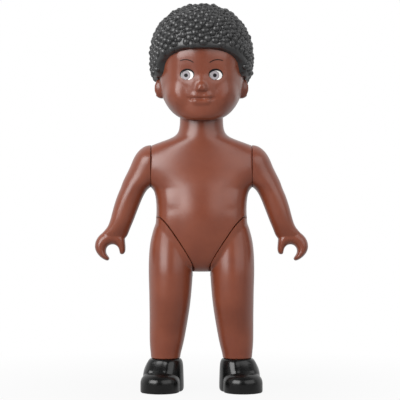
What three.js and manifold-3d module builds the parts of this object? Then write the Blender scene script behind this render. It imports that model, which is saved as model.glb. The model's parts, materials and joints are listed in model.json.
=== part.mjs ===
// A jointed plastic play doll that stands on its shoes and faces -Y, its left side at +X.
// Hollow torso and leg halves catch flanged pegs, so the head, arms and legs turn and stay on.
import * as THREE from "three";
import { mergeVertices } from "three/addons/utils/BufferGeometryUtils.js";
import Module from "manifold-3d";

const wasm = await Module();
wasm.setup();

// Fits, in millimetres
const CLEARANCE = 0.3; // between pieces that touch or turn on each other
const WALL = 1.8; // of the hollow torso, head and legs
const FLANGE_THICKNESS = 1.4; // of the flanges that keep the pegs in
const FLANGE_LAP = 1.6; // a flange overlaps the edge of its hole by this much

// Torso, heights above the crotch
const HIP_RISE = 10.1;
const WAIST_RISE = 24;
const SHOULDER_RISE = 41.4;
const SHOULDER_SLOPE = 5; // from the top of the shoulder seam up to the foot of the neck
const NECK_LENGTH = 9;
const CROTCH_WIDTH = 13;
const CROTCH_DEPTH = 9;
const HIP_WIDTH = 37.6;
const HIP_DEPTH = 23.6;
const WAIST_WIDTH = 36;
const WAIST_DEPTH = 24.6;
const BELLY_FORWARD = 0.8; // the belly sits this far in front of the neck
const CHEST_DEPTH = 23;
const SHOULDER_SPAN = 40; // from one shoulder seam to the other
const SHOULDER_RADIUS = 8.1; // of the round seam face
const NECK_DIAMETER = 17.6;
const NECK_STUD_RADIUS = 4;
const PIN_RADIUS = 1;
const PIN_REACH = 2.6; // of a locating pin into its socket
const BOSS_WALL = 1.3;

// Arm, in its own frame: centre of the shoulder seam, arm outwards along X
const ARM_LENGTH = 25; // shoulder axis down to the wrist
const ARM_LEAN = 12.4; // the wrist's centre stands this far out from the seam
const DELTOID_WIDTH = 8.3;
const UPPER_ARM_WIDTH = 10.4;
const WRIST_WIDTH = 9;
const WRIST_DEPTH = 8;
const ARM_PEG_RADIUS = 3;
const GRIP_RADIUS = 3.1; // of the hole in the C-grip hand
const GRIP_DROP = 8.5; // centre of the grip below the wrist
const GRIP_OUT = 3.1; // and out from the wrist's centre
const HAND_DEPTH = 6.4;
const FINGER_THICKNESS = 4.5;
const FINGER_TIP_ANGLE = -61; // degrees round the grip from its outer side
const THUMB_THICKNESS = 2.5;
const THUMB_TIP_ANGLE = 202;
const PALM_THICKNESS = 5;

// Hip joint: a slanted plane that its peg stands square to
const HIP_X = 11.4;
const HIP_SLANT = 34; // degrees that the peg points down from level
const HIP_TURN = 16; // degrees that the peg points forwards
const HIP_PEG_RADIUS = 4;

// Leg, from the hip joint down to the ankle
const LEG_DROP = 45.5;
const THIGH_WIDTH = 17.6;
const THIGH_DEPTH = 18.8;
const KNEE_WIDTH = 16.2;
const KNEE_DEPTH = 16.8;
const CALF_WIDTH = 14.4;
const CALF_DEPTH = 15.6;
const ANKLE_WIDTH = 11.6;
const ANKLE_DEPTH = 12.2;
const ANKLE_OUT = 3.1; // the ankle stands this far outside the hip joint
const CALF_BACK = 0.9;

// Shoe
const SHOE_HEIGHT = 12.8;
const SHOE_WIDTH = 15.4;
const TOE_REACH = 13.2; // in front of the ankle
const HEEL_REACH = 8.4; // behind it
const TOE_CAP_HEIGHT = 7.4;
const COLLAR_WIDTH = 14.6;
const COLLAR_DEPTH = 14.2;
const TOE_OUT = 17; // degrees
const PLUG_HEIGHT = 5; // of the plug that holds the shoe in the ankle

// Head, heights above the neck joint
const CHIN_DROP = 4.6;
const HEAD_HEIGHT = 39.8;
const HEAD_WIDTH = 33.6;
const HEAD_DEPTH = 36.6;
const JAW_WIDTH = 28.4;
const EYE_RISE = 12.4;
const EYE_SPACING = 11.4;
const EYE_RADIUS = 2.9;
const NOSE_RISE = 7.3;
const MOUTH_RISE = 3.2;
const EAR_RISE = 8.7;
const EAR_HEIGHT = 7.6;
const EAR_REACH = 2.5; // the ear stands this far out from the head

// Hair
const HAIR_WIDTH = 41.2;
const HAIR_FRONT = 20.6;
const HAIR_BACK = 22.6;
const HAIR_ABOVE = 2.3; // crown of the hair above the head
const HAIR_WALL = 2.2;
const HAIRLINE_FRONT = 22.8; // heights of the rim above the neck joint
const HAIRLINE_TEMPLE = 19.4;
const HAIRLINE_EAR = 13;
const HAIRLINE_NAPE = 6.5;
const SIDEBURN_FRONT = 7.6; // hair beside the face starts this far in front of the neck's axis
const RIM_LAP = 6; // the open skull reaches this far up inside the hair
const CURL_PROUD = 0.7;

// Heights and places that follow from the sizes above
const NECK_RISE = SHOULDER_RISE + SHOULDER_RADIUS + SHOULDER_SLOPE + NECK_LENGTH;
const HIP_Z = SHOE_HEIGHT + CLEARANCE + LEG_DROP;
const CROTCH_Z = HIP_Z - HIP_RISE;
const SHOULDER_X = SHOULDER_SPAN / 2;
const NECK_JOINT_RISE = NECK_RISE + CLEARANCE;
const NECK_STUD_HOLE = NECK_STUD_RADIUS + CLEARANCE;
const slant = THREE.MathUtils.degToRad(HIP_SLANT);
const turn = THREE.MathUtils.degToRad(HIP_TURN);
const hipAxis = new THREE.Vector3(
  Math.cos(slant) * Math.cos(turn),
  -Math.sin(turn),
  -Math.sin(slant) * Math.cos(turn),
);
const BIG = 400; // side of the blocks that cut away half of space

// Solids in and out of the library that joins and cuts them
function solid(geometry) {
  const bare = new THREE.BufferGeometry();
  bare.setAttribute("position", geometry.getAttribute("position"));
  bare.setIndex(geometry.getIndex());
  const merged = mergeVertices(bare, 1e-4);
  const mesh = new wasm.Mesh({
    numProp: 3,
    vertProperties: merged.getAttribute("position").array,
    triVerts: Uint32Array.from(merged.getIndex().array),
  });
  mesh.merge();
  return new wasm.Manifold(mesh);
}

function pieceOf(name, body, material) {
  const mesh = body.getMesh();
  const geometry = new THREE.BufferGeometry();
  geometry.setAttribute("position", new THREE.BufferAttribute(mesh.vertProperties, 3));
  geometry.setIndex(new THREE.BufferAttribute(mesh.triVerts, 1));
  geometry.computeVertexNormals();
  const piece = new THREE.Mesh(geometry, material);
  piece.name = name;
  return piece;
}

// The block of space on the side of a plane that its normal points to
function halfSpace(point, normal) {
  const block = new THREE.BoxGeometry(BIG, BIG, BIG).translate(0, 0, BIG / 2);
  const up = new THREE.Vector3(0, 0, 1);
  block.applyQuaternion(new THREE.Quaternion().setFromUnitVectors(up, normal));
  return solid(block.translate(point.x, point.y, point.z));
}

// A solid of revolution from [radius, distance along the axis] pairs, first and last on the axis
function turned(outline, base, axis, sides) {
  const points = outline.map(([radius, along]) => new THREE.Vector2(radius, along));
  const body = new THREE.LatheGeometry(points, sides);
  const up = new THREE.Vector3(0, 1, 0);
  body.applyQuaternion(new THREE.Quaternion().setFromUnitVectors(up, axis));
  return solid(body.translate(base.x, base.y, base.z));
}

function rod(radius, base, axis, from, to, sides) {
  return turned([[0, from], [radius, from], [radius, to], [0, to]], base, axis, sides);
}

// Smooth curve through rows of [height, value, value, ...]
function profile(rows) {
  const heights = rows.map((row) => row[0]);
  const values = rows.flatMap((row) => row.slice(1));
  const curve = new THREE.CubicInterpolant(heights, values, rows[0].length - 1);
  return (height) => Array.from(curve.evaluate(height));
}

function steps(from, to, count) {
  return Array.from({ length: count }, (_, i) => from + ((to - from) * i) / count);
}

// A closed body from rings of points, lowest ring first; the diagonals alternate so that both sides match
function loft(rings) {
  const sides = rings[0].length;
  const points = rings.flat();
  const faces = [];
  for (let r = 0; r + 1 < rings.length; r += 1) {
    for (let s = 0; s < sides; s += 1) {
      const a = r * sides + s;
      const b = r * sides + ((s + 1) % sides);
      const c = a + sides;
      const d = b + sides;
      faces.push(...((r + s) % 2 === 0 ? [a, b, d, a, d, c] : [a, b, c, b, d, c]));
    }
  }
  const top = (rings.length - 1) * sides;
  const lowCentre = points.push(centre(rings[0])) - 1;
  const highCentre = points.push(centre(rings[rings.length - 1])) - 1;
  for (let s = 0; s < sides; s += 1) {
    const next = (s + 1) % sides;
    faces.push(lowCentre, next, s, highCentre, top + s, top + next);
  }
  const geometry = new THREE.BufferGeometry();
  geometry.setAttribute("position", new THREE.Float32BufferAttribute(points.flat(), 3));
  geometry.setIndex(faces);
  return geometry;
}

function centre(ring) {
  const sum = ring.reduce((s, p) => [s[0] + p[0], s[1] + p[1], s[2] + p[2]], [0, 0, 0]);
  return sum.map((value) => value / ring.length);
}

// One ring: a rounded outline, squarer than an ellipse where fullness is above 2
function ring(height, halfWidth, halfDepth, x, y, fullness, angles) {
  return angles.map((angle) => {
    const c = Math.cos(angle);
    const s = Math.sin(angle);
    const across = Math.sign(c) * Math.abs(c) ** (2 / fullness);
    const along = Math.sign(s) * Math.abs(s) ** (2 / fullness);
    return [x + halfWidth * across, y + halfDepth * along, height];
  });
}

function evenAngles(sides) {
  return steps(0, 2 * Math.PI, sides);
}

// Torso: level sections from the crotch to the neck, full enough at the shoulders to leave a round seam
const armpit = SHOULDER_RISE - SHOULDER_RADIUS;
const shoulderTop = SHOULDER_RISE + SHOULDER_RADIUS;
const neckFoot = shoulderTop + SHOULDER_SLOPE;
const torsoProfile = profile([
  [0, CROTCH_WIDTH / 2, 0.58 * CROTCH_DEPTH, 1],
  [0.2 * HIP_RISE, 0.62 * HIP_WIDTH / 2, 0.73 * HIP_DEPTH / 2, 1.1],
  [HIP_RISE, 0.98 * HIP_WIDTH / 2, 0.95 * HIP_DEPTH / 2, 0.4],
  [0.5 * (HIP_RISE + WAIST_RISE), HIP_WIDTH / 2, HIP_DEPTH / 2, -0.4 * BELLY_FORWARD],
  [WAIST_RISE, WAIST_WIDTH / 2, WAIST_DEPTH / 2, -BELLY_FORWARD],
  [armpit, SHOULDER_X, CHEST_DEPTH / 2, -0.6 * BELLY_FORWARD],
  [shoulderTop, SHOULDER_X, 0.84 * CHEST_DEPTH / 2, 0],
  [shoulderTop + 0.5 * SHOULDER_SLOPE, 0.5 * (SHOULDER_X + 0.5 * NECK_DIAMETER), 0.56 * NECK_DIAMETER, 0],
  [neckFoot, 0.58 * NECK_DIAMETER, 0.53 * NECK_DIAMETER, 0],
  [neckFoot + 0.5 * NECK_LENGTH, 0.505 * NECK_DIAMETER, 0.505 * NECK_DIAMETER, 0],
  [NECK_RISE, 0.5 * NECK_DIAMETER, 0.5 * NECK_DIAMETER, 0],
]);
const torsoHeights = [
  0,
  0.07 * HIP_RISE,
  ...steps(0.2 * HIP_RISE, armpit, 8),
  ...steps(0, Math.PI, 6).map((angle) => SHOULDER_RISE - SHOULDER_RADIUS * Math.cos(angle)),
  ...steps(shoulderTop, neckFoot, 3),
  ...steps(neckFoot, NECK_RISE, 2),
  NECK_RISE,
];

function torsoBlank(heights, inset, sides) {
  const angles = evenAngles(sides);
  const rings = heights.map((height) => {
    const [width, depth, y] = torsoProfile(height);
    const reach = Math.max(0, SHOULDER_RADIUS ** 2 - (height - SHOULDER_RISE) ** 2);
    const wide = reach > 0 ? SHOULDER_X / Math.sqrt(1 - reach / depth ** 2) : width;
    return ring(height, wide - inset, depth - inset, 0, y, 2, angles);
  });
  return solid(loft(rings));
}

const hipPoint = new THREE.Vector3(HIP_X, 0, HIP_RISE);
const mirrorX = new THREE.Vector3(-1, 1, 1);
const hipPointRight = hipPoint.clone().multiply(mirrorX);
const hipAxisRight = hipAxis.clone().multiply(mirrorX);
const outward = new THREE.Vector3(1, 0, 0);
const inward = new THREE.Vector3(-1, 0, 0);
const upward = new THREE.Vector3(0, 0, 1);
const forward = new THREE.Vector3(0, -1, 0);
const backward = new THREE.Vector3(0, 1, 0);
const shoulderPoint = new THREE.Vector3(SHOULDER_X, 0, SHOULDER_RISE);
const shoulderPointRight = shoulderPoint.clone().multiply(mirrorX);

// Keeps what lies inside the seams, each moved in by a depth: nothing for the outside, a wall for the hollow
function inside(body, seams, depth) {
  return seams.reduce(
    (rest, [point, side]) => rest.intersect(halfSpace(point.clone().addScaledVector(side, depth), side)),
    body,
  );
}

const shoulderSeams = [
  [shoulderPoint, inward],
  [shoulderPointRight, outward],
];
const hipSeams = [
  [hipPoint, hipAxis.clone().negate()],
  [hipPointRight, hipAxisRight.clone().negate()],
];
const torsoOuter = inside(torsoBlank(torsoHeights, 0, 24), shoulderSeams, 0);
const hollowHeights = [
  0.3 * HIP_RISE,
  ...steps(0.5 * HIP_RISE, armpit, 4),
  ...steps(armpit, shoulderTop, 3),
  shoulderTop,
  neckFoot,
  NECK_RISE - WALL,
];
const torsoHollow = inside(torsoBlank(hollowHeights, WALL, 16), [...shoulderSeams, ...hipSeams], WALL);
const armPegHole = ARM_PEG_RADIUS + CLEARANCE;
const hipPegHole = HIP_PEG_RADIUS + CLEARANCE;
const neckPoint = new THREE.Vector3(0, 0, NECK_RISE);
const torsoShell = inside(torsoOuter, hipSeams, 0)
  .subtract(torsoHollow)
  .subtract(rod(armPegHole, shoulderPoint, outward, -2 * WALL, WALL, 16))
  .subtract(rod(armPegHole, shoulderPointRight, inward, -2 * WALL, WALL, 16))
  .subtract(rod(hipPegHole, hipPoint, hipAxis, -2 * WALL, WALL, 16))
  .subtract(rod(hipPegHole, hipPointRight, hipAxisRight, -2 * WALL, WALL, 16))
  .subtract(rod(NECK_STUD_HOLE, neckPoint, upward, -2 * WALL, WALL, 24));

// Locating pins on the front half and sockets in the back half, clear of the pegs
const pinPlaces = [
  [-0.42 * SHOULDER_X, WAIST_RISE + 0.35 * (armpit - WAIST_RISE)],
  [0.42 * SHOULDER_X, WAIST_RISE + 0.35 * (armpit - WAIST_RISE)],
  [0, 0.5 * (HIP_RISE + WAIST_RISE) + 2],
  [0, SHOULDER_RISE + 0.5 * SHOULDER_RADIUS],
].map(([x, z]) => new THREE.Vector3(x, 0, z));
const pinBossRadius = PIN_RADIUS + BOSS_WALL;
const frontSpace = halfSpace(new THREE.Vector3(0, -CLEARANCE / 2, 0), forward);
const backSpace = halfSpace(new THREE.Vector3(0, CLEARANCE / 2, 0), backward);
const bossDepth = 0.5 * Math.max(WAIST_DEPTH, CHEST_DEPTH);
let torsoFront = torsoShell.intersect(frontSpace);
let torsoBack = torsoShell.intersect(backSpace);
for (const place of pinPlaces) {
  const frontBoss = rod(pinBossRadius, place, forward, CLEARANCE / 2, bossDepth, 8);
  const backBoss = rod(pinBossRadius, place, backward, CLEARANCE / 2, bossDepth, 8);
  const pin = rod(PIN_RADIUS, place, backward, -PIN_REACH, PIN_REACH, 8);
  const socket = rod(PIN_RADIUS + CLEARANCE, place, backward, -WALL, PIN_REACH + CLEARANCE, 8);
  torsoFront = torsoFront.add(frontBoss.intersect(torsoOuter)).add(pin);
  torsoBack = torsoBack.add(backBoss.intersect(torsoOuter)).subtract(socket);
}

// A peg with a flange at one or both ends; lengths run from the seam, on its inner and outer side
const flangeInner = WALL + CLEARANCE;
function doublePeg(radius, point, axis, outerWall) {
  const wide = radius + CLEARANCE + FLANGE_LAP;
  const low = -flangeInner;
  const high = outerWall + CLEARANCE;
  const outline = [
    [0, low - FLANGE_THICKNESS],
    [wide, low - FLANGE_THICKNESS],
    [wide, low],
    [radius, low],
    [radius, high],
    [wide, high],
    [wide, high + FLANGE_THICKNESS],
    [0, high + FLANGE_THICKNESS],
  ];
  return turned(outline, point, axis, 16);
}

const hipPeg = doublePeg(HIP_PEG_RADIUS, hipPoint, hipAxis, CLEARANCE + WALL);
const neckStud = doublePeg(NECK_STUD_RADIUS, neckPoint, upward, CLEARANCE + WALL);

// Arm: level sections from the top of the shoulder to the wrist, then a C-grip hand
const palmZ = -ARM_LENGTH - 0.36 * GRIP_DROP;
const armProfile = profile([
  [palmZ, 0.42 * WRIST_WIDTH, 0.4 * HAND_DEPTH, ARM_LEAN + 0.4 * GRIP_OUT],
  [0.5 * (palmZ - ARM_LENGTH), 0.5 * WRIST_WIDTH, 0.54 * HAND_DEPTH, ARM_LEAN + 0.2 * GRIP_OUT],
  [-ARM_LENGTH, 0.5 * WRIST_WIDTH, 0.5 * WRIST_DEPTH, ARM_LEAN],
  [-0.7 * ARM_LENGTH, 0.54 * WRIST_WIDTH, 0.54 * WRIST_DEPTH, 0.86 * ARM_LEAN],
  [-0.36 * ARM_LENGTH, 0.5 * UPPER_ARM_WIDTH, 0.5 * UPPER_ARM_WIDTH, 0.56 * ARM_LEAN],
  [-0.2 * ARM_LENGTH, 0.69 * UPPER_ARM_WIDTH, 0.69 * UPPER_ARM_WIDTH, 0.26 * ARM_LEAN],
  [0, DELTOID_WIDTH, SHOULDER_RADIUS, 0],
  [0.5 * SHOULDER_RADIUS, 0.84 * DELTOID_WIDTH, 0.866 * SHOULDER_RADIUS, 0],
  [0.8 * SHOULDER_RADIUS, 0.56 * DELTOID_WIDTH, 0.6 * SHOULDER_RADIUS, 0],
  [0.95 * SHOULDER_RADIUS, 0.3 * DELTOID_WIDTH, 0.31 * SHOULDER_RADIUS, 0],
  [SHOULDER_RADIUS, 0.08 * DELTOID_WIDTH, 0.08 * SHOULDER_RADIUS, 0],
]);
const armHeights = [
  ...steps(palmZ, -ARM_LENGTH, 2),
  ...steps(-ARM_LENGTH, -0.36 * ARM_LENGTH, 5),
  ...steps(-0.36 * ARM_LENGTH, 0, 5),
  ...steps(0, 0.95 * SHOULDER_RADIUS, 4),
  0.95 * SHOULDER_RADIUS,
  SHOULDER_RADIUS,
];
const armRings = armHeights.map((height) => {
  const [width, depth, x] = armProfile(height);
  return ring(height, width, depth, x, 0, 2, evenAngles(16));
});

// The hand: one thick finger and a thumb bent round the grip, as sections that fan out from its centre
const gripX = ARM_LEAN + GRIP_OUT;
const gripZ = -ARM_LENGTH - GRIP_DROP;
const handProfile = profile([
  [FINGER_TIP_ANGLE, 1.26 * GRIP_RADIUS, 0.3 * FINGER_THICKNESS, 0.5 * HAND_DEPTH],
  [FINGER_TIP_ANGLE + 9, 1.18 * GRIP_RADIUS, 0.5 * FINGER_THICKNESS, 0.8 * HAND_DEPTH],
  [-23, 1.02 * GRIP_RADIUS, 0.72 * FINGER_THICKNESS, HAND_DEPTH],
  [18, GRIP_RADIUS, FINGER_THICKNESS, HAND_DEPTH],
  [45, GRIP_RADIUS, FINGER_THICKNESS, HAND_DEPTH],
  [75, GRIP_RADIUS, PALM_THICKNESS, HAND_DEPTH],
  [118, GRIP_RADIUS, PALM_THICKNESS, HAND_DEPTH],
  [135, GRIP_RADIUS, 0.9 * PALM_THICKNESS, 0.95 * HAND_DEPTH],
  [155, GRIP_RADIUS, 1.2 * THUMB_THICKNESS, 0.84 * HAND_DEPTH],
  [180, GRIP_RADIUS, THUMB_THICKNESS, 0.74 * HAND_DEPTH],
  [THUMB_TIP_ANGLE - 9, 1.02 * GRIP_RADIUS, 0.84 * THUMB_THICKNESS, 0.62 * HAND_DEPTH],
  [THUMB_TIP_ANGLE, 1.07 * GRIP_RADIUS, 0.45 * THUMB_THICKNESS, 0.4 * HAND_DEPTH],
]);
const handAngles = [
  FINGER_TIP_ANGLE,
  ...steps(FINGER_TIP_ANGLE + 9, THUMB_TIP_ANGLE - 9, 11),
  THUMB_TIP_ANGLE - 9,
  THUMB_TIP_ANGLE,
];
const handRings = handAngles.map((degrees) => {
  const [inner, thick, depth] = handProfile(degrees);
  const bearing = THREE.MathUtils.degToRad(degrees);
  const section = ring(0, 0.5 * thick, 0.5 * depth, inner + 0.5 * thick, 0, 2.4, evenAngles(12));
  return section.map(([out, y]) => [gripX + out * Math.cos(bearing), y, gripZ + out * Math.sin(bearing)]);
});
const seamGap = new THREE.Vector3(CLEARANCE, 0, 0);
const armPegEnd = -flangeInner - FLANGE_THICKNESS;
const armPegWide = ARM_PEG_RADIUS + CLEARANCE + FLANGE_LAP;
const armPegOutline = [
  [0, armPegEnd],
  [armPegWide, armPegEnd],
  [armPegWide, -flangeInner],
  [ARM_PEG_RADIUS, -flangeInner],
  [ARM_PEG_RADIUS, WALL],
  [0, WALL],
];
const arm = solid(loft(armRings))
  .add(solid(loft(handRings)))
  .intersect(halfSpace(seamGap, outward))
  .add(turned(armPegOutline, new THREE.Vector3(), outward, 16));

// Leg: level sections from the ankle up to the hip, whose outside carries on the torso's own surface
const ankleZ = -LEG_DROP;
const kneeZ = -0.52 * LEG_DROP;
const calfZ = -0.74 * LEG_DROP;
const legProfile = profile([
  [ankleZ, 0.5 * ANKLE_WIDTH, 0.5 * ANKLE_DEPTH, ANKLE_OUT, 0.5 * CALF_BACK],
  [ankleZ + 2, 0.515 * ANKLE_WIDTH, 0.52 * ANKLE_DEPTH, 0.97 * ANKLE_OUT, 0.6 * CALF_BACK],
  [0.5 * (ankleZ + calfZ), 0.48 * CALF_WIDTH, 0.47 * CALF_DEPTH, 0.85 * ANKLE_OUT, CALF_BACK],
  [calfZ, 0.5 * CALF_WIDTH, 0.5 * CALF_DEPTH, 0.73 * ANKLE_OUT, CALF_BACK],
  [kneeZ, 0.5 * KNEE_WIDTH, 0.5 * KNEE_DEPTH, 0.46 * ANKLE_OUT, -0.3],
  [-0.24 * LEG_DROP, 0.5 * THIGH_WIDTH, 0.495 * THIGH_DEPTH, 0.39 * ANKLE_OUT, 0],
  [0, 0.495 * THIGH_WIDTH, 0.5 * THIGH_DEPTH, 0.2 * ANKLE_OUT, 0],
  [0.6 * HIP_RISE, 0.45 * THIGH_WIDTH, 0.46 * THIGH_DEPTH, 0, 0],
  [0.9 * HIP_RISE, 0.34 * THIGH_WIDTH, 0.36 * THIGH_DEPTH, 0, 0],
]);

function legBlank(heights, inset, sides) {
  const rings = heights.map((height) => {
    const [width, depth, x, y] = legProfile(height);
    return ring(height + HIP_RISE, width - inset, depth - inset, HIP_X + x, y, 2, evenAngles(sides));
  });
  return solid(loft(rings));
}

const legHeights = [...steps(ankleZ, 0, 11), ...steps(0, 0.9 * HIP_RISE, 3), 0.9 * HIP_RISE];
const legHollowHeights = [ankleZ - 1, ...steps(ankleZ + 1, 0, 5), 0, 0.9 * HIP_RISE - WALL];
const hipFace = hipPoint.clone().addScaledVector(hipAxis, CLEARANCE);
const hipWall = hipFace.clone().addScaledVector(hipAxis, WALL);
const legShell = legBlank(legHeights, 0, 20)
  .add(torsoOuter.intersect(halfSpace(hipFace, hipAxis)))
  .intersect(halfSpace(hipFace, hipAxis))
  .subtract(legBlank(legHollowHeights, WALL, 12).intersect(halfSpace(hipWall, hipAxis)))
  .subtract(rod(hipPegHole, hipPoint, hipAxis, 0, flangeInner + WALL, 24));
const legFront = legShell.intersect(frontSpace);
const legBack = legShell.intersect(backSpace);

// Shoe, in its own frame: ankle at the origin, sole on the floor, toe towards -Y
const collarFront = 0.5 * COLLAR_DEPTH;
const shoeProfile = profile([
  [0, 0.45 * SHOE_WIDTH, TOE_REACH - 1, HEEL_REACH - 0.8],
  [0.9, 0.49 * SHOE_WIDTH, TOE_REACH - 0.2, HEEL_REACH - 0.2],
  [0.4 * TOE_CAP_HEIGHT, 0.5 * SHOE_WIDTH, TOE_REACH, HEEL_REACH],
  [0.75 * TOE_CAP_HEIGHT, 0.495 * SHOE_WIDTH, TOE_REACH - 0.8, HEEL_REACH],
  [TOE_CAP_HEIGHT, 0.485 * SHOE_WIDTH, 0.5 * (TOE_REACH + collarFront), HEEL_REACH - 0.1],
  [TOE_CAP_HEIGHT + 1.4, 0.5 * COLLAR_WIDTH, collarFront + 0.7, 0.5 * COLLAR_DEPTH + 0.8],
  [SHOE_HEIGHT - 1, 0.49 * COLLAR_WIDTH, collarFront, 0.5 * COLLAR_DEPTH + 0.2],
  [SHOE_HEIGHT - 0.2, 0.44 * COLLAR_WIDTH, collarFront - 0.7, 0.5 * COLLAR_DEPTH - 0.5],
  [SHOE_HEIGHT, 0.41 * COLLAR_WIDTH, collarFront - 1.1, 0.5 * COLLAR_DEPTH - 0.9],
]);
const shoeHeights = [
  0,
  0.4,
  0.9,
  ...steps(0.4 * TOE_CAP_HEIGHT, TOE_CAP_HEIGHT + 1.4, 5),
  ...steps(TOE_CAP_HEIGHT + 1.4, SHOE_HEIGHT - 1, 2),
  SHOE_HEIGHT - 1,
  SHOE_HEIGHT - 0.4,
  SHOE_HEIGHT,
];
const shoeRings = shoeHeights.map((height) => {
  const [width, toe, heel] = shoeProfile(height);
  return ring(height, width, 0.5 * (toe + heel), 0, 0.5 * (heel - toe), 2.5, evenAngles(20));
});
const ankleY = 0.5 * CALF_BACK;
const plugInset = WALL + CLEARANCE;
const plugRings = [SHOE_HEIGHT - WALL, SHOE_HEIGHT + PLUG_HEIGHT].map((height) =>
  ring(height, 0.5 * ANKLE_WIDTH - plugInset, 0.5 * ANKLE_DEPTH - plugInset, 0, 0, 2, evenAngles(16)),
);
const shoe = solid(loft(shoeRings).rotateZ(THREE.MathUtils.degToRad(TOE_OUT))).add(solid(loft(plugRings)));

// Head: level sections from the chin to the crown, with the face raised on the front
const headTop = HEAD_HEIGHT;
const headFront = 0.49 * HEAD_DEPTH;
const headBack = 0.51 * HEAD_DEPTH;
const headProfile = profile([
  [-CHIN_DROP, 0.36 * JAW_WIDTH / 2, 0.8 * headFront, -0.45 * headFront],
  [-0.75 * CHIN_DROP, 0.57 * JAW_WIDTH / 2, 0.87 * headFront, 0.05 * headBack],
  [-0.5 * CHIN_DROP, 0.72 * JAW_WIDTH / 2, 0.9 * headFront, 0.28 * headBack],
  [0, 0.88 * JAW_WIDTH / 2, 0.925 * headFront, 0.5 * headBack],
  [0.07 * headTop, JAW_WIDTH / 2, 0.945 * headFront, 0.67 * headBack],
  [0.13 * headTop, 0.91 * HEAD_WIDTH / 2, 0.96 * headFront, 0.78 * headBack],
  [0.24 * headTop, 0.975 * HEAD_WIDTH / 2, 0.975 * headFront, 0.9 * headBack],
  [0.36 * headTop, 0.99 * HEAD_WIDTH / 2, 0.975 * headFront, 0.97 * headBack],
  [0.53 * headTop, HEAD_WIDTH / 2, headFront, headBack],
  [0.67 * headTop, 0.98 * HEAD_WIDTH / 2, 0.99 * headFront, 0.99 * headBack],
  [0.8 * headTop, 0.87 * HEAD_WIDTH / 2, 0.87 * headFront, 0.88 * headBack],
  [0.9 * headTop, 0.68 * HEAD_WIDTH / 2, 0.68 * headFront, 0.7 * headBack],
  [0.97 * headTop, 0.42 * HEAD_WIDTH / 2, 0.42 * headFront, 0.44 * headBack],
  [headTop, 0.1 * HEAD_WIDTH / 2, 0.1 * headFront, 0.12 * headBack],
]);
const eyeX = EYE_SPACING / 2;

// Raised and sunk places of the face: place, spread across and up, and how far each stands proud
const faceFeatures = [
  { x: 0, z: NOSE_RISE, across: 2.2, up: 1.8, proud: 2.6 },
  { x: 0, z: NOSE_RISE + 3, across: 1.5, up: 3, proud: 1.1 },
  { x: 0.9 * eyeX, z: MOUTH_RISE + 1.8, across: 4, up: 3.6, proud: 0.9 },
  { x: 1.5 * eyeX, z: NOSE_RISE - 2.4, across: 4.2, up: 3.8, proud: 1.2 },
  { x: eyeX, z: EYE_RISE, across: 1.5 * EYE_RADIUS, up: EYE_RADIUS, proud: -1.7 },
  { x: eyeX, z: EYE_RISE, across: 0.76 * EYE_RADIUS, up: 0.6 * EYE_RADIUS, proud: 1.9 },
  { x: 0, z: MOUTH_RISE, across: 4, up: 0.7, proud: -1.1 },
  { x: 0, z: MOUTH_RISE + 1.3, across: 3, up: 0.9, proud: 0.8 },
  { x: 0, z: MOUTH_RISE - 1.4, across: 2.7, up: 1, proud: 1.2 },
  { x: 0, z: MOUTH_RISE - 3.2, across: 3.2, up: 0.8, proud: -0.4 },
  { x: 0, z: -0.4 * CHIN_DROP, across: 3.6, up: 2.2, proud: 1.1 },
];

function faceRise(x, z) {
  return faceFeatures.reduce((sum, { x: fx, z: fz, across, up, proud }) => {
    const level = ((z - fz) / up) ** 2;
    const near = Math.exp(-(((x - fx) / across) ** 2) - level);
    const mirrored = fx === 0 ? 0 : Math.exp(-(((x + fx) / across) ** 2) - level);
    return sum + proud * (near + mirrored);
  }, 0);
}

function headBlank(heights, inset, sides, face) {
  const angles = evenAngles(sides).map((angle) => angle - 0.55 * Math.cos(angle));
  const rings = heights.map((height) => {
    const [width, front, back] = headProfile(height);
    const depth = 0.5 * (front + back) - inset;
    const outline = ring(height, width - inset, depth, 0, 0.5 * (back - front), 2.25, angles);
    return outline.map(([x, y, z]) => [x, y < 0 && face ? y - faceRise(x, z) : y, z]);
  });
  return solid(loft(rings));
}

const headHeights = [
  ...steps(-CHIN_DROP, EYE_RISE + EYE_RADIUS, 16),
  ...steps(EYE_RISE + EYE_RADIUS, headTop, 6),
  0.97 * headTop,
  headTop,
];
const headHollowHeights = [WALL, ...steps(0.15 * headTop, headTop - WALL, 6), headTop - WALL];

// The hairline, seen from the side, as the underside of a block that spans the head
function aboveHairline(raise) {
  const line = new THREE.Shape();
  line.moveTo(-HAIR_FRONT - 10, HAIRLINE_FRONT + 5 + raise);
  line.splineThru([
    new THREE.Vector2(-HAIR_FRONT, HAIRLINE_FRONT + 0.4 + raise),
    new THREE.Vector2(-1.24 * SIDEBURN_FRONT, HAIRLINE_TEMPLE + raise),
    new THREE.Vector2(-SIDEBURN_FRONT, 0.5 * (HAIRLINE_TEMPLE + HAIRLINE_EAR) + raise),
    new THREE.Vector2(-0.5 * SIDEBURN_FRONT, HAIRLINE_EAR + raise),
    new THREE.Vector2(0.25 * HAIR_BACK, HAIRLINE_EAR - 0.6 + raise),
    new THREE.Vector2(0.5 * HAIR_BACK, 0.4 * HAIRLINE_EAR + 0.6 * HAIRLINE_NAPE + raise),
    new THREE.Vector2(HAIR_BACK, HAIRLINE_NAPE + raise),
    new THREE.Vector2(HAIR_BACK + 10, HAIRLINE_NAPE + raise),
  ]);
  line.lineTo(HAIR_BACK + 10, BIG / 4);
  line.lineTo(-HAIR_FRONT - 10, BIG / 4);
  const block = new THREE.ExtrudeGeometry(line, { depth: BIG / 2, bevelEnabled: false, curveSegments: 3 });
  block.translate(0, 0, -BIG / 4).rotateX(Math.PI / 2).rotateZ(Math.PI / 2);
  return solid(block);
}

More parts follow.
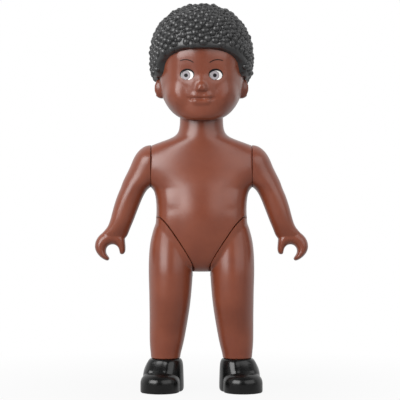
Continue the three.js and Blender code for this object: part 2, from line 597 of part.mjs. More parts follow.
const headOrigin = new THREE.Vector3();
const neckRecess = rod(0.5 * NECK_DIAMETER + CLEARANCE, headOrigin, upward, -2 * CHIN_DROP, 0, 32);
let headShell = headBlank(headHeights, 0, 40, true);
for (const side of [-1, 1]) {
  const ear = new THREE.SphereGeometry(1, 12, 8);
  ear.scale(EAR_REACH + 1.2, 0.36 * EAR_HEIGHT, 0.5 * EAR_HEIGHT);
  ear.translate(side * (0.978 * HEAD_WIDTH / 2 - 1.2), 1.6, EAR_RISE);
  const concha = new THREE.SphereGeometry(1, 10, 6);
  concha.scale(0.7, 0.17 * EAR_HEIGHT, 0.26 * EAR_HEIGHT);
  concha.translate(side * (0.978 * HEAD_WIDTH / 2 + EAR_REACH - 0.2), 0.9, EAR_RISE);
  headShell = headShell.add(solid(ear)).subtract(solid(concha));
}
headShell = headShell
  .subtract(aboveHairline(RIM_LAP))
  .subtract(headBlank(headHollowHeights, WALL, 20, false))
  .subtract(neckRecess)
  .subtract(rod(NECK_STUD_HOLE, headOrigin, upward, -WALL, 2 * WALL, 24));

// Hair: a dome whose alternate points stand proud as curls, hollow inside down to its rim
const hairTop = HEAD_HEIGHT + HAIR_ABOVE;
const hairProfile = profile([
  [HAIRLINE_NAPE - 3, 0.9 * HAIR_WIDTH / 2, 0.8 * HAIR_FRONT, 0.86 * HAIR_BACK],
  [HAIRLINE_EAR, 0.965 * HAIR_WIDTH / 2, 0.93 * HAIR_FRONT, 0.97 * HAIR_BACK],
  [0.53 * hairTop, HAIR_WIDTH / 2, 0.99 * HAIR_FRONT, HAIR_BACK],
  [0.66 * hairTop, 0.965 * HAIR_WIDTH / 2, HAIR_FRONT, 0.965 * HAIR_BACK],
  [0.78 * hairTop, 0.86 * HAIR_WIDTH / 2, 0.9 * HAIR_FRONT, 0.86 * HAIR_BACK],
  [0.88 * hairTop, 0.7 * HAIR_WIDTH / 2, 0.74 * HAIR_FRONT, 0.7 * HAIR_BACK],
  [0.95 * hairTop, 0.47 * HAIR_WIDTH / 2, 0.5 * HAIR_FRONT, 0.48 * HAIR_BACK],
  [hairTop, 0.14 * HAIR_WIDTH / 2, 0.15 * HAIR_FRONT, 0.14 * HAIR_BACK],
]);

function hairBlank(heights, inset, sides, curls) {
  const angles = evenAngles(sides);
  const rings = heights.map((height, row) => {
    const [width, front, back] = hairProfile(height);
    const depth = 0.5 * (front + back) - inset;
    const outline = ring(height, width - inset, depth, 0, 0.5 * (back - front), 2.1, angles);
    return outline.map(([x, y, z], column) => {
      const shrink = (row + column) % 2 === 1 ? 0 : curls / Math.hypot(x, y);
      return [x * (1 - shrink), y * (1 - shrink), z];
    });
  });
  return solid(loft(rings));
}

const hairHeights = [
  ...steps(HAIRLINE_NAPE - 3, 0.78 * hairTop, 10),
  ...steps(0.78 * hairTop, 0.95 * hairTop, 4),
  0.95 * hairTop,
  hairTop,
];
const hairHollowHeights = [
  ...steps(HAIRLINE_NAPE - 2, 0.78 * hairTop, 5),
  0.78 * hairTop,
  0.88 * hairTop,
  hairTop - HAIR_WALL,
];
const hairCap = hairBlank(hairHeights, 0, 38, CURL_PROUD)
  .intersect(aboveHairline(0))
  .subtract(hairBlank(hairHollowHeights, HAIR_WALL, 20, 0).intersect(aboveHairline(HAIR_WALL)))
  .subtract(headBlank(headHollowHeights, -CLEARANCE, 40, false));

// Plastics
function plastic(name, color, roughness) {
  const material = new THREE.MeshStandardMaterial({ color, roughness, metalness: 0 });
  material.name = name;
  return material;
}

const skin = plastic("brown_plastic", 0x85503c, 0.4);
const hair = plastic("black_hair_plastic", 0x2b2a2b, 0.5);
const gloss = plastic("black_shoe_plastic", 0x141414, 0.15);
const natural = plastic("natural_peg_plastic", 0xd8d2c4, 0.45);

// The figure, built on the crotch height and set so that its box stands centred on the floor
const figure = new THREE.Group();
const torso = new THREE.Group();
torso.position.z = CROTCH_Z;
torso.add(
  pieceOf("torso_front", torsoFront, skin),
  pieceOf("torso_back", torsoBack, skin),
  pieceOf("neck_stud", neckStud, natural),
);
const head = new THREE.Group();
head.position.z = CROTCH_Z + NECK_JOINT_RISE;
head.add(pieceOf("head_shell", headShell, skin), pieceOf("hair_cap", hairCap, hair));
figure.add(torso, head);

for (const [side, sign] of [["left", 1], ["right", -1]]) {
  const limbs = new THREE.Group();
  limbs.scale.x = sign;
  const armPiece = pieceOf(`${side}_arm`, arm, skin);
  armPiece.position.set(SHOULDER_X, 0, CROTCH_Z + SHOULDER_RISE);
  const leg = new THREE.Group();
  leg.position.z = CROTCH_Z;
  leg.add(
    pieceOf(`${side}_hip_peg`, hipPeg, natural),
    pieceOf(`${side}_leg_front`, legFront, skin),
    pieceOf(`${side}_leg_back`, legBack, skin),
  );
  const shoePiece = pieceOf(`${side}_shoe`, shoe, gloss);
  shoePiece.position.set(HIP_X + ANKLE_OUT, ankleY, 0);
  limbs.add(armPiece, leg, shoePiece);
  figure.add(limbs);
}

const box = new THREE.Box3().setFromObject(figure);
figure.position.y = -0.5 * (box.min.y + box.max.y);

const doll = new THREE.Group();
doll.name = "doll";
doll.add(figure);

export default doll;
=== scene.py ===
import json
import math
import random

import bpy
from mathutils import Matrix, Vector


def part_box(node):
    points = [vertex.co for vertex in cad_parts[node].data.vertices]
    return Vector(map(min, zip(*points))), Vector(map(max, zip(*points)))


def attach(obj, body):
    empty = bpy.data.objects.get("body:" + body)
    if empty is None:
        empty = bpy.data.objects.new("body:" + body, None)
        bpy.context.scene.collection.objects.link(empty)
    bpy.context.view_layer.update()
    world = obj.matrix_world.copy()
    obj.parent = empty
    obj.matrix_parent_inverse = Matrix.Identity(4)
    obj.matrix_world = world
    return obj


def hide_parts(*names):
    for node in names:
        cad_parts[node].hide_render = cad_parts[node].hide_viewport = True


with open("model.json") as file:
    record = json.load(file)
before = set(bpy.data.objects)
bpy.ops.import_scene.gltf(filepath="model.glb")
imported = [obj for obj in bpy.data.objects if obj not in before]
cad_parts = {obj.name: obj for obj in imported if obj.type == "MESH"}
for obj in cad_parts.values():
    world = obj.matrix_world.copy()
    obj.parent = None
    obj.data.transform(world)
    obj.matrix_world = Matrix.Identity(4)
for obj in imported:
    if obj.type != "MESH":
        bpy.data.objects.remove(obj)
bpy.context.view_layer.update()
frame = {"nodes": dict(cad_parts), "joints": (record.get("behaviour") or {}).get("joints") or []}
joints = {joint["name"]: joint for joint in frame["joints"]}
bpy.ops.object.select_all(action="DESELECT")

# Torso: the doll's body and neck, a hollow shell of hard brown vinyl moulded in two halves.
# Flat faces at the shoulders and slanted ones at the hips carry the limbs, and a fine line
# round the sides shows where the two halves were welded.
MM = 0.001
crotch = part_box("torso_front")[0].z / MM
neck = Vector(joints["head_turn"]["pos_m"]) / MM
shoulder = Vector(joints["left_shoulder"]["pos_m"]) / MM
hip = Vector(joints["left_hip"]["pos_m"]) / MM
hip_axis = -Vector(joints["left_hip"]["axis"])
mirrored = Vector((-1, 1, 1))
neck_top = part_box("torso_front")[1].z / MM
seam_edge = 0.12  # broken edge along the shoulder seams
hip_edge = 0.18  # along the hip seams
neck_edge = 0.4  # at the top of the neck, under the head
parting_depth = 0.1
parting_reach = 0.16
full_flank = (14.5, 16.5, crotch + 12, crotch + 28)  # where the front of the body is drawn out
flank_swell = 1.2

# Height above the crotch, half width, half depth and centre in front of the neck's axis
torso_rings = [
    (-0.9, 5.2, 3.8, -1.0),
    (-0.7, 7.2, 5.7, -1.0),
    (1.4, 12.0, 8.8, -0.9),
    (5.5, 16.4, 10.6, -0.4),
    (10.1, 18.6, 11.7, 0.0),
    (15.0, 18.7, 12.2, 0.5),
    (20.0, 18.1, 12.4, 0.8),
    (24.5, 17.9, 12.3, 0.7),
    (28.5, 18.2, 11.9, 0.5),
    (31.2, 18.8, 11.6, 0.4),
    (32.6, 19.9, 11.4, 0.3),
    (33.7, 21.8, 11.25, 0.15),
    (35.2, 24.2, 11.0, 0.0),
    (38.0, 27.9, 10.7, -0.2),
    (41.4, 30.4, 10.4, -0.3),
    (44.8, 29.0, 9.9, -0.4),
    (47.6, 24.4, 9.5, -0.4),
    (49.8, 19.4, 9.3, -0.3),
    (51.4, 14.9, 9.2, -0.2),
    (52.8, 11.1, 9.0, -0.1),
    (54.6, 9.1, 8.8, 0.0),
    (58.0, 8.6, 8.6, 0.0),
    (62.0, 8.6, 8.6, 0.0),
    (66.0, 8.6, 8.6, 0.0),
]


def alone(piece):
    """Selects one piece and nothing else, because an operator acts on all that is selected."""
    bpy.ops.object.select_all(action="DESELECT")
    piece.select_set(True)
    bpy.context.view_layer.objects.active = piece


def edit(piece):
    alone(piece)
    bpy.ops.object.mode_set(mode="EDIT")
    bpy.ops.mesh.select_all(action="SELECT")


def faced_out():
    """Turns all faces of the piece that is open outwards, and closes it."""
    bpy.ops.mesh.select_all(action="SELECT")
    bpy.ops.mesh.normals_make_consistent(inside=False)
    bpy.ops.object.mode_set(mode="OBJECT")


def applied(piece, kind, **settings):
    """Gives a piece a modifier and applies it."""
    alone(piece)
    modifier = piece.modifiers.new(kind.lower(), kind)
    for name, value in settings.items():
        setattr(modifier, name, value)
    bpy.ops.object.modifier_apply(modifier=modifier.name)


def rounded(piece):
    """Closes a cage of rings and rounds it off."""
    faced_out()
    applied(piece, "SUBSURF", levels=2, render_levels=2)


def swell(sides):
    """How much wider a ring is drawn, because rounding off draws it in by this much."""
    return 3 / (2 + math.cos(2 * math.pi / sides))


def drawn_up(name, rings, sides):
    """A round body pulled up from a circle by rings: centre x, y, z, half width and half depth."""
    x, y, z, wide, deep = rings[0]
    middle = Vector((x, y, z)) * MM
    bpy.ops.mesh.primitive_circle_add(
        vertices=sides, radius=MM, fill_type="NGON", location=middle)
    piece = bpy.context.object
    piece.name = name
    bpy.ops.object.transform_apply(location=True)
    edit(piece)
    grow = swell(sides)
    bpy.ops.transform.resize(value=(wide * grow, deep * grow, 1), center_override=middle)
    for ring in rings[1:]:
        step = Vector(ring[:3]) - Vector((x, y, z))
        bpy.ops.mesh.extrude_region_move(TRANSFORM_OT_translate={"value": step * MM})
        middle = Vector(ring[:3]) * MM
        bpy.ops.transform.resize(
            value=(ring[3] / wide, ring[4] / deep, 1), center_override=middle)
        x, y, z, wide, deep = ring
    rounded(piece)
    return piece


def cut_flat(piece, point, side, edge):
    """Cuts off one side of a plane and closes the cut with a flat face, its edge broken."""
    edit(piece)
    bpy.ops.mesh.bisect(
        plane_co=(point - side * edge) * MM, plane_no=side, use_fill=True, clear_outer=True)
    bpy.ops.mesh.remove_doubles(threshold=edge * MM)
    bpy.ops.mesh.inset(thickness=edge * MM, depth=edge * MM, use_even_offset=False)
    bpy.ops.mesh.region_to_loop()
    bpy.ops.mesh.mark_sharp()
    bpy.ops.object.mode_set(mode="OBJECT")


def pick(piece, kind, wanted):
    """Opens a piece with only those points or faces selected that pass a test."""
    edit(piece)
    bpy.ops.mesh.select_mode(type=kind)
    bpy.ops.mesh.select_all(action="DESELECT")
    bpy.ops.object.mode_set(mode="OBJECT")
    for element in piece.data.vertices if kind == "VERT" else piece.data.polygons:
        element.select = wanted(element)
    bpy.ops.object.mode_set(mode="EDIT")


def pressed(piece, touched, move, reach):
    """Moves the front points that a test picks by place in mm, and draws what is near along."""
    pick(piece, "VERT", lambda point: point.co.y < neck.y * MM and touched(point.co / MM))
    bpy.ops.transform.translate(
        value=Vector(move) * MM, use_proportional_edit=True,
        proportional_edit_falloff="SMOOTH", proportional_size=reach * MM)
    bpy.ops.object.mode_set(mode="OBJECT")


def band(x_from, x_to, z_from, z_to):
    """Tests for a place between two distances from the middle and two heights."""
    return lambda p: x_from <= abs(p.x) < x_to and z_from < p.z < z_to


def parting_line(piece, y):
    """Scores the fine line that a two-part mould leaves round a piece."""
    edit(piece)
    for offset in (-parting_reach, parting_reach, 0):
        bpy.ops.mesh.select_all(action="SELECT")
        bpy.ops.mesh.bisect(plane_co=(0, (y + offset) * MM, 0), plane_no=(0, 1, 0))
    bpy.ops.transform.shrink_fatten(value=-parting_depth * MM)
    bpy.ops.object.mode_set(mode="OBJECT")


def smooth_but_edges(piece, degrees):
    alone(piece)
    bpy.ops.object.shade_smooth_by_angle(angle=math.radians(degrees))


def twin(piece, name):
    """A copy with its own mesh."""
    copy = piece.copy()
    copy.data = piece.data.copy()
    copy.name = name
    bpy.context.scene.collection.objects.link(copy)
    return copy


def clad(piece, material):
    piece.data.materials.clear()
    piece.data.materials.append(material)


torso = drawn_up("torso", [
    (0, neck.y - f, crotch + h, w, d) for h, w, d, f in torso_rings], sides=32)
pressed(torso, band(*full_flank), (0, -flank_swell, 0), reach=8)
hip_pattern = twin(torso, "hip_pattern")
cut_flat(torso, Vector((0, 0, neck_top)), Vector((0, 0, 1)), neck_edge)
for way in (Vector((1, 1, 1)), mirrored):
    cut_flat(torso, shoulder * way, Vector((1, 0, 0)) * way.x, seam_edge)
    cut_flat(torso, hip * way, hip_axis * way, hip_edge)
parting_line(torso, neck.y)
smooth_but_edges(torso, degrees=35)
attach(torso, "torso")
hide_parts("torso_front", "torso_back")


def linear(code):
    """An sRGB hex colour as the linear colour that a shader takes."""
    parts = [int(code[i:i + 2], 16) / 255 for i in (1, 3, 5)]
    return [p / 12.92 if p <= 0.04045 else ((p + 0.055) / 1.055) ** 2.4 for p in parts] + [1]


def add_node(tree, kind, settings=None, inputs=None):
    """Adds a node, sets its options, and fills sockets, by name or number, or links them."""
    node = tree.nodes.new(kind)
    for name, value in (settings or {}).items():
        setattr(node, name, value)
    for name, value in (inputs or {}).items():
        if isinstance(value, bpy.types.NodeSocket):
            tree.links.new(value, node.inputs[name])
        else:
            node.inputs[name].default_value = value
    return node


def new_material(name):
    material = bpy.data.materials.new(name)
    material.use_nodes = True
    material.node_tree.nodes.clear()
    return material


def noise(tree, size_mm, detail):
    """Cloudy noise that is fixed to the piece, in patches of about this size."""
    place = add_node(tree, "ShaderNodeTexCoord").outputs["Object"]
    return add_node(tree, "ShaderNodeTexNoise", inputs={
        "Vector": place, "Scale": 1 / (size_mm * MM), "Detail": detail}).outputs["Fac"]


def tinted(tree, amount, dark, light, dark_until=0, light_from=1):
    """A colour that runs between two shades with the noise."""
    ramp = add_node(tree, "ShaderNodeValToRGB", inputs={"Fac": amount})
    ramp.color_ramp.elements[0].position = dark_until
    ramp.color_ramp.elements[0].color = linear(dark)
    ramp.color_ramp.elements[1].position = light_from
    ramp.color_ramp.elements[1].color = linear(light)
    return ramp.outputs["Color"]


def ranged(tree, amount, least, most):
    """A number that runs between two ends with the noise."""
    return add_node(tree, "ShaderNodeMapRange", inputs={
        "Value": amount, "To Min": least, "To Max": most}).outputs["Result"]


def surfaced(tree, inputs):
    surface = add_node(tree, "ShaderNodeBsdfPrincipled", inputs=inputs)
    add_node(tree, "ShaderNodeOutputMaterial", inputs={"Surface": surface.outputs["BSDF"]})


# Moulded vinyl: a satin brown with faint cloudy changes of pigment and a fine mould grain,
# which the eye takes as broad soft highlights with slightly uneven edges.
cloud_mm = 11
grain_mm = 0.45  # real grain is about 0.1 mm, drawn coarser to show
grain_depth = 0.05
vinyl = new_material("brown_moulded_vinyl")
tree = vinyl.node_tree
clouds = noise(tree, cloud_mm, detail=3)
grain = noise(tree, grain_mm, detail=2)
relief = add_node(tree, "ShaderNodeBump", inputs={
    "Height": grain, "Strength": 0.06, "Distance": grain_depth * MM})
surfaced(tree, {
    "Base Color": tinted(tree, clouds, "#773a26", "#83432c", 0.3, 0.7),
    "Roughness": ranged(tree, clouds, 0.3, 0.36), "Normal": relief.outputs["Normal"],
    "IOR": 1.5, "Coat Weight": 0.45, "Coat Roughness": 0.28})
clad(torso, vinyl)

# Arms: each one solid vinyl moulding, from a round shoulder face that turns on the torso
# to a C-grip hand that snaps on a toy's handle. The hand's finger and thumb curl round the grip.
grip = Vector((15.6, 0, -34.0))  # centre of the grip, from the shoulder joint
arm_gap = 0.18  # between the arm's face and the torso's

# Height above the shoulder joint, half width, half depth, centre out from the seam and in front
# of the joint
arm_rings = [
    (-30.0, 3.0, 1.8, 15.2, 0.0),
    (-29.0, 5.2, 2.9, 15.4, 0.1),
    (-27.0, 5.4, 3.6, 14.6, 0.3),
    (-25.0, 4.6, 4.2, 13.1, 0.6),
    (-22.0, 4.65, 4.9, 11.8, 0.8),
    (-17.0, 5.0, 5.3, 10.3, 0.8),
    (-12.0, 5.2, 5.8, 8.5, 0.6),
    (-9.4, 5.4, 6.1, 7.1, 0.4),
    (-8.0, 6.2, 6.4, 5.8, 0.3),
    (-6.4, 7.3, 6.8, 4.2, 0.2),
    (-3.6, 8.2, 7.4, 1.9, 0.0),
    (-0.5, 8.3, 7.9, 0.2, 0.0),
    (2.8, 7.3, 8.0, 0.0, 0.0),
    (5.4, 5.7, 6.6, 0.0, 0.0),
    (7.2, 3.8, 4.4, 0.0, 0.0),
    (8.3, 1.6, 1.9, 0.0, 0.0),
]
# Bearing round the grip from its outer side, inner radius, thickness and depth of the hand there
hand_sections = [
    (-70, 3.2, 0.9, 2.2),
    (-62, 2.9, 1.7, 4.4),
    (-43, 2.7, 2.3, 5.8),
    (-20, 2.65, 3.2, 6.4),
    (2, 2.65, 4.4, 6.6),
    (24, 2.65, 5.2, 6.6),
    (48, 2.65, 5.7, 6.6),
    (75, 2.65, 6.1, 6.6),
    (105, 2.65, 6.1, 6.6),
    (128, 2.65, 5.2, 6.4),
    (146, 2.65, 3.5, 5.8),
    (162, 2.7, 2.8, 5.2),
    (180, 2.75, 2.5, 4.8),
    (193, 2.95, 2.0, 4.0),
    (203, 3.2, 1.0, 2.2),
]


def curled(name, centre, sections, sides):
    """A body swept round a centre from a small ellipse that is turned, stretched and extruded."""
    bearing, inner, thick, deep = sections[0]
    bpy.ops.mesh.primitive_circle_add(
        vertices=sides, radius=MM, fill_type="NGON", location=(0, 0, 0))
    piece = bpy.context.object
    piece.name = name
    edit(piece)
    grow = swell(sides)
    bpy.ops.transform.resize(
        value=(thick / 2 * grow, deep / 2 * grow, 1), center_override=(0, 0, 0))
    bpy.ops.transform.translate(value=(centre + Vector((inner + thick / 2, 0, 0))) * MM)
    turn = math.radians(bearing)
    bpy.ops.transform.rotate(value=turn, orient_axis="Y", center_override=centre * MM)
    for section in sections[1:]:
        bpy.ops.mesh.extrude_region_move()
        turn = math.radians(section[0] - bearing)
        bpy.ops.transform.rotate(value=turn, orient_axis="Y", center_override=centre * MM)
        bearing = section[0]
        out = Vector((math.cos(math.radians(bearing)), 0, math.sin(math.radians(bearing))))
        move = section[1] + section[2] / 2 - inner - thick / 2
        bpy.ops.transform.translate(value=out * move * MM)
        middle = centre + out * (section[1] + section[2] / 2)
        grow = section[2] / thick
        bpy.ops.transform.resize(
            value=(grow, section[3] / deep, grow), center_override=middle * MM)
        inner, thick, deep = section[1:]
    rounded(piece)
    return piece


def joined(pieces):
    bpy.ops.object.select_all(action="DESELECT")
    for piece in pieces:
        piece.select_set(True)
    bpy.context.view_layer.objects.active = pieces[0]
    bpy.ops.object.join()


def skinned(piece, voxel, passes):
    """Draws one even skin over all that a piece holds, and smooths it."""
    applied(piece, "REMESH", mode="VOXEL", voxel_size=voxel * MM)
    applied(piece, "SMOOTH", factor=0.5, iterations=passes)


def melted(pieces, voxel, passes):
    """Joins pieces into one skin, as clay runs together."""
    joined(pieces)
    skinned(pieces[0], voxel, passes)


def mirrored_twin(piece, name):
    copy = twin(piece, name)
    alone(copy)
    copy.scale.x = -1
    bpy.ops.object.transform_apply(scale=True)
    edit(copy)
    faced_out()
    return copy


left_arm = drawn_up("left_arm_moulding", [
    (shoulder.x + x, shoulder.y - f, shoulder.z + h, w, d)
    for h, w, d, x, f in arm_rings], sides=24)
hand = curled("hand", shoulder + grip, hand_sections, sides=16)
melted([left_arm, hand], voxel=0.2, passes=22)
cut_flat(left_arm, shoulder + Vector((arm_gap, 0, 0)), Vector((-1, 0, 0)), seam_edge)
smooth_but_edges(left_arm, degrees=35)
right_arm = mirrored_twin(left_arm, "right_arm_moulding")
smooth_but_edges(right_arm, degrees=35)
for side, arm in (("left", left_arm), ("right", right_arm)):
    clad(arm, vinyl)
    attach(arm, f"{side}_arm")
    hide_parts(f"{side}_arm")

# Legs: hollow vinyl shells in two halves, each turning on a peg that stands square to the slanted
# hip face. Above the seam the outside runs on into the torso's own surface, and below it tapers
# to the ankle.
leg_gap = 0.3  # between the leg's face and the torso's
inner_thigh = 3.5  # the torso's form is carried on in the leg, this near to the middle
pattern_top = 12  # and up to this far under the shoulder
pattern_edge = 0.1
covered_edge = 0.3  # broken edge of a cut that another piece covers
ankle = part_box("left_leg_front")[0].z / MM
full_thigh = (10, 14, ankle + 24, ankle + 33)  # where the front of the leg is drawn out
thigh_swell = 1.4

# Height above the ankle, half width, half depth, centre out from the middle and behind the neck's
# axis
leg_rings = [
    (-3.0, 5.75, 6.0, 14.4, 0.4),
    (0.0, 5.8, 6.1, 14.4, 0.5),
    (2.0, 6.05, 6.5, 14.3, 0.6),
    (5.5, 6.75, 7.2, 14.0, 0.8),
    (11.0, 7.3, 7.9, 13.5, 0.9),
    (16.5, 7.75, 8.2, 13.0, 0.1),
    (21.5, 8.15, 8.5, 12.65, -0.6),
    (27.0, 8.45, 8.9, 12.4, -0.9),
    (33.0, 8.8, 9.3, 12.3, -0.6),
    (39.0, 8.9, 9.6, 12.2, -0.2),
    (45.0, 8.75, 9.6, 12.0, -0.3),
    (49.0, 8.3, 9.6, 11.6, -0.4),
    (52.5, 7.4, 9.2, 11.5, -0.5),
    (55.5, 5.8, 7.4, 11.8, -0.4),
    (57.0, 3.8, 5.0, 12.0, -0.2),
]
left_leg = drawn_up("left_leg_moulding", [
    (x, neck.y + y, ankle + h, w, d) for h, w, d, x, y in leg_rings], sides=28)
cut_flat(hip_pattern, shoulder, Vector((1, 0, 0)), pattern_edge)
cut_flat(hip_pattern, shoulder - Vector((0, 0, pattern_top)), Vector((0, 0, 1)), pattern_edge)
cut_flat(hip_pattern, Vector((inner_thigh, 0, 0)), Vector((-1, 0, 0)), pattern_edge)
melted([left_leg, hip_pattern], voxel=0.3, passes=20)
pressed(left_leg, band(*full_thigh), (0, -thigh_swell, 0), reach=16)
parting_line(left_leg, neck.y)
cut_flat(left_leg, hip + hip_axis * leg_gap, -hip_axis, hip_edge)
cut_flat(left_leg, Vector((0, 0, ankle)), Vector((0, 0, -1)), covered_edge)
smooth_but_edges(left_leg, degrees=25)
right_leg = mirrored_twin(left_leg, "right_leg_moulding")
smooth_but_edges(right_leg, degrees=25)
for side, leg in (("left", left_leg), ("right", right_leg)):
    clad(leg, vinyl)
    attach(leg, f"{side}_leg")
    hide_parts(f"{side}_leg_front", f"{side}_leg_back")

# Shoes: solid black vinyl, polished in the mould, with a full round toe cap, a vamp that runs up
# to the collar round the ankle and a plug inside the ankle that holds them on.
ankle_centre = Vector((14.5, neck.y + 0.45, 0))
ground = Vector((0, 0, 0))
toe_out = 20  # degrees
toe_centre = Vector((0, -5.7, 0))
toe_radius = 7.8
toe_height = 7.5
toe_edge = 3.8  # rounding of the toe cap's upper edge
sole_edge = 0.05
full_vamp = (4.2, 5.4, 8.5, 11.5)  # where the vamp is drawn out beside its middle
vamp_front = -2  # and only in front of this
vamp_swell = 0.6
facing = 0.9  # least share of a normal for a face that looks straight one way

# Height, half width, reach in front of the ankle and behind it, centre out from the ankle
shoe_rings = [
    (-0.5, 7.7, 9.2, 8.2, 0.5),
    (0.8, 7.9, 9.6, 8.6, 0.5),
    (3.0, 7.95, 9.9, 8.7, 0.5),
    (6.0, 7.95, 9.9, 8.6, 0.6),
    (8.0, 7.85, 9.1, 8.4, 0.6),
    (9.5, 7.6, 8.0, 8.1, 0.5),
    (10.8, 7.25, 7.2, 7.8, 0.3),
    (12.0, 6.8, 6.6, 7.2, 0.1),
    (12.7, 6.3, 6.3, 6.7, 0.0),
    (12.9, 5.9, 6.1, 6.3, 0.0),
    (12.85, 5.2, 5.4, 5.5, 0.0),
]
left_shoe = drawn_up("left_shoe_moulding", [
    (x, (heel - toe) / 2, h, w, (toe + heel) / 2) for h, w, toe, heel, x in shoe_rings], sides=28)
bpy.ops.mesh.primitive_cylinder_add(
    vertices=64, radius=toe_radius * MM, depth=2 * toe_height * MM, location=toe_centre * MM)
toe_cap = bpy.context.object
bpy.ops.object.transform_apply(location=True)
pick(toe_cap, "FACE", lambda face: face.normal.z > facing)
bpy.ops.mesh.bevel(offset=toe_edge * MM, segments=6)
bpy.ops.object.mode_set(mode="OBJECT")
for part in (left_shoe, toe_cap):
    cut_flat(part, ground, Vector((0, 0, -1)), covered_edge)
melted([left_shoe, toe_cap], voxel=0.25, passes=9)
pressed(left_shoe, lambda p: p.y < vamp_front and band(*full_vamp)(p),
        (0, -vamp_swell, 0), reach=3.0)
cut_flat(left_shoe, ground, Vector((0, 0, -1)), sole_edge)
edit(left_shoe)
bpy.ops.transform.rotate(value=-math.radians(toe_out), orient_axis="Z", center_override=ground)
bpy.ops.transform.translate(value=ankle_centre * MM)
bpy.ops.object.mode_set(mode="OBJECT")
smooth_but_edges(left_shoe, degrees=60)
right_shoe = mirrored_twin(left_shoe, "right_shoe_moulding")
smooth_but_edges(right_shoe, degrees=60)

# Polished black vinyl: nearly black, with sharp reflections that a faint haze of handling softens.
haze_mm = 3
polish = new_material("black_polished_vinyl")
tree = polish.node_tree
haze = noise(tree, haze_mm, detail=4)
surfaced(tree, {
    "Base Color": tinted(tree, haze, "#060606", "#0c0c0c"),
    "Roughness": ranged(tree, haze, 0.19, 0.27), "IOR": 1.52})
for side, shoe in (("left", left_shoe), ("right", right_shoe)):
    clad(shoe, polish)
    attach(shoe, f"{side}_leg")
    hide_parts(f"{side}_shoe")

# Head: one vinyl moulding with the face, ears and a recess that sits over the neck, open under
# the hair. Nose, lips, cheeks and chin are raised in the mould, with shallow sockets for the
# printed eyes.
neck_recess = 9.1
recess_depth = 10
skull_rim = 29  # the skull ends here, inside the hair

# Height above the neck joint, half width, reach in front of the neck's axis and behind it
head_rings = [
    (-4.8, 3.4, 12.2, -9.0),
    (-4.6, 6.2, 14.4, -3.2),
    (-3.4, 9.0, 15.4, 2.2),
    (-1.8, 11.2, 15.9, 6.0),
    (0.4, 13.1, 16.2, 9.8),
    (3.0, 14.7, 16.5, 12.6),
    (6.0, 15.9, 16.8, 15.0),
    (9.6, 16.6, 17.0, 16.9),
    (14.0, 16.8, 17.1, 18.1),
    (19.0, 16.9, 17.75, 18.7),
    (21.5, 16.9, 17.85, 18.8),
    (24.0, 16.9, 17.6, 18.9),
    (28.0, 16.6, 16.6, 18.5),
    (32.0, 14.9, 15.0, 16.6),
    (36.0, 11.4, 12.2, 13.0),
    (38.8, 6.6, 7.0, 7.6),
    (39.4, 2.4, 2.4, 2.6),
]
head = drawn_up("head_moulding", [
    (0, neck.y + (back - front) / 2, neck.z + h, w, (back + front) / 2)
    for h, w, front, back in head_rings], sides=32)
bpy.ops.mesh.primitive_cylinder_add(
    vertices=64, radius=neck_recess * MM, depth=recess_depth * MM,
    location=(neck - Vector((0, 0, recess_depth / 2))) * MM)
recess = bpy.context.object
applied(head, "BOOLEAN", object=recess, operation="DIFFERENCE", solver="EXACT")
bpy.data.objects.remove(recess)

# An ear: a flattened ball whose outer face is inset and pressed in for the bowl
ear_centre = neck + Vector((15.9, 2.2, 8.7))
ear_half_size = (3.5, 2.6, 4.1)
ear_bowl = ((0.35, 0.5), (0.3, 0.3))  # inset and depth of each step into the bowl
bowl_facing = 0.72
bowl_tilt = 0.6
bpy.ops.mesh.primitive_uv_sphere_add(segments=24, ring_count=16, radius=MM, location=(0, 0, 0))
ear = bpy.context.object
edit(ear)
bpy.ops.transform.resize(value=ear_half_size, center_override=(0, 0, 0))
bpy.ops.transform.translate(value=ear_centre * MM)
bpy.ops.object.mode_set(mode="OBJECT")
pick(ear, "FACE", lambda face: face.normal.x > bowl_facing and abs(face.normal.z) < bowl_tilt)
for inset, sunk in ear_bowl:
    bpy.ops.mesh.inset(thickness=inset * MM, depth=-sunk * MM)
bpy.ops.object.mode_set(mode="OBJECT")
other_ear = mirrored_twin(ear, "other_ear")
melted([head, ear, other_ear], voxel=0.25, passes=5)
cut_flat(head, neck + Vector((0, 0, skull_rim)), Vector((0, 0, 1)), covered_edge)


def spot(x, z, size):
    """Tests for a place near two points beside the middle of the face, or near one on it."""
    return lambda p: (abs(p.x) - x) ** 2 + (p.z - neck.z - z) ** 2 < size ** 2


def line(half, z, lift, size):
    """Tests for a place on a level line across the face, its ends lifted."""
    return lambda p: abs(p.x) < half and abs(p.z - neck.z - z - lift * (p.x / half) ** 2) < size


# What is pressed out of the face or, with a plus, into it: place, distance and reach
face_forms = [
    (band(9.8, 11.4, neck.z + 11, neck.z + 19), -0.8, 6.5),  # temples
    (spot(5.6, 12.8, 1.0), 0.25, 3.2),  # eye sockets
    (band(0, 0.3, neck.z + 9, neck.z + 11), -0.35, 2.6),  # bridge of the nose
    (spot(0, 7.6, 0.5), -1.35, 2.4),  # tip of the nose
    (spot(1.5, 7.0, 0.3), -0.45, 1.2),  # nostrils
    (spot(2.3, 4.3, 0.5), -0.42, 1.9),  # upper lip
    (line(1.5, 5.9, 0.0, 0.2), 0.2, 0.8),  # hollow under the nose
    (line(2.8, 2.0, 0.4, 0.35), -0.45, 1.6),  # lower lip
    (line(5.2, 3.2, 0.35, 0.14), 0.25, 0.95),  # line of the mouth
    (line(4.0, 3.2, 0.2, 0.14), 0.4, 0.9),  # its deeper middle
]
cheek = spot(11.0, 3.9, math.sqrt(2))
for sign in (1, -1):
    pressed(head, lambda p: p.x * sign > 0 and cheek(p), (0.4 * sign, -1.5, 0), reach=5.8)
for place, inwards, reach in face_forms:
    pressed(head, place, (0, inwards, 0), reach)
applied(head, "SMOOTH", factor=0.5, iterations=4)
smooth_but_edges(head, degrees=60)
